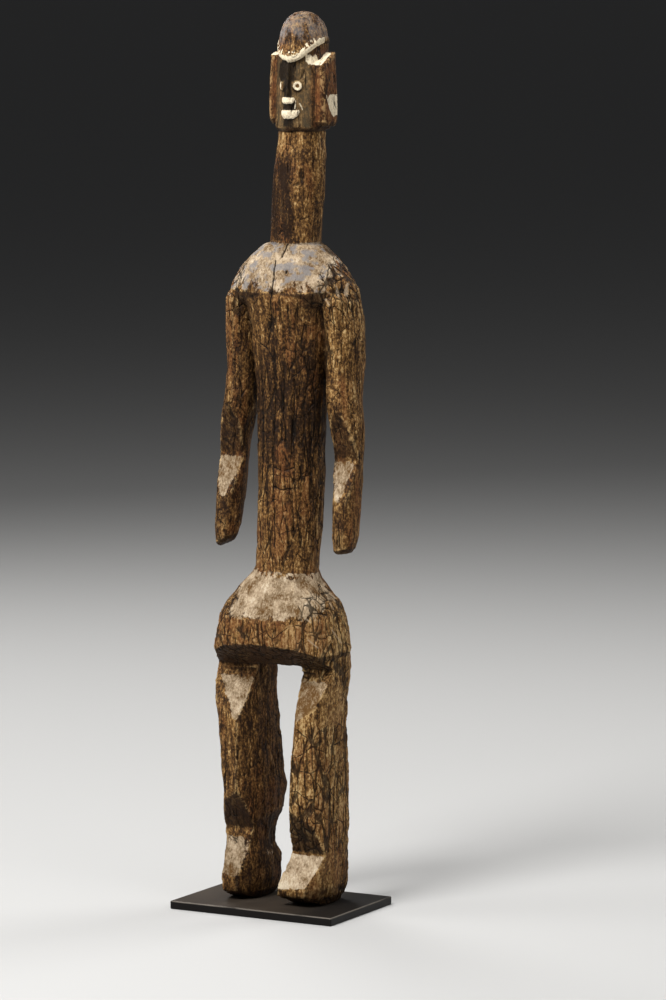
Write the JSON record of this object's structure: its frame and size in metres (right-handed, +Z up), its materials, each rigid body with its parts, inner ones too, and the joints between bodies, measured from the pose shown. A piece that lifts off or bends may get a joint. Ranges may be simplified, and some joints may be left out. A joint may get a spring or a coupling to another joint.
{
  "type": "carved wooden standing figure on a base plate",
  "caption": "Tall slender carved wooden figure with a capped wedge-shaped head, hanging arms, a hooded pelvis and zigzag-cut legs, standing on a thin flat rectangular steel plate.",
  "frame": {"origin": "middle of the base plate's underside, on the surface that the object stands on", "axes": "+Z up along the figure's height, -Y the way the figure faces, +X the figure's left"},
  "size_m": [0.22, 0.152, 1.0703],
  "materials": {
    "carved_wood": "dark weathered wood with worn pale facets",
    "blackened_steel": "satin black-brown"
  },
  "bodies": {
    "root": {"figure": "carved_wood", "base_plate": "blackened_steel"}
  },
  "joints": []
}
